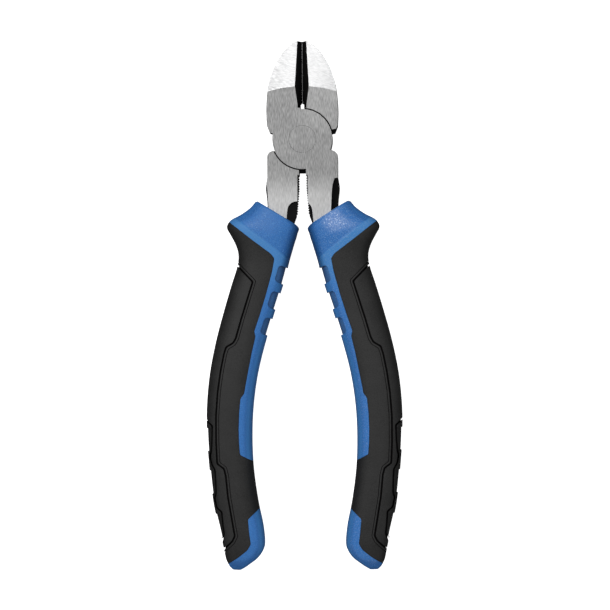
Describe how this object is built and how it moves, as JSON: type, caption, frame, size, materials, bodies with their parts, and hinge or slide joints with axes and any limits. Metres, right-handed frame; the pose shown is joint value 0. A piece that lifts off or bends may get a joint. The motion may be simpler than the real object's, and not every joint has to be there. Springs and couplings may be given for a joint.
{
  "type": "diagonal cutting pliers",
  "caption": "Diagonal cutting pliers with a lap joint, curved bevelled jaws and two-colour moulded grips; the halves turn on a flush rivet to open and close the cutting edges.",
  "frame": {"origin": "on the pivot axis, in the plane of the joint's rear flat", "axes": "+X across the tool, +Y along it towards the jaw tips, +Z along the pivot axis towards the front flat"},
  "size_m": [0.0668, 0.1801, 0.0203],
  "materials": {
    "steel": "ground flats, polished nose, blackened bevels and forged steps",
    "rivet_steel": "ground flush with the flats",
    "blue_plastic": "satin, fine grain",
    "black_rubber": "matt, fine grain"
  },
  "bodies": {
    "rear_body": {"rear_half": "steel", "pivot_rivet": "rivet_steel", "left_grip_core": "blue_plastic", "left_grip_body": "black_rubber", "left_palm_pad": "black_rubber", "left_heel_pad": "black_rubber"},
    "front_body": {"front_half": "steel", "right_grip_core": "blue_plastic", "right_grip_body": "black_rubber", "right_palm_pad": "black_rubber", "right_heel_pad": "black_rubber"}
  },
  "joints": [
    {"name": "jaw_pivot", "type": "hinge", "parent": "rear_body", "child": "front_body", "pos_m": [0, 0, 0], "axis": [0, 0, 1], "range_deg": [0, 32]}
  ]
}
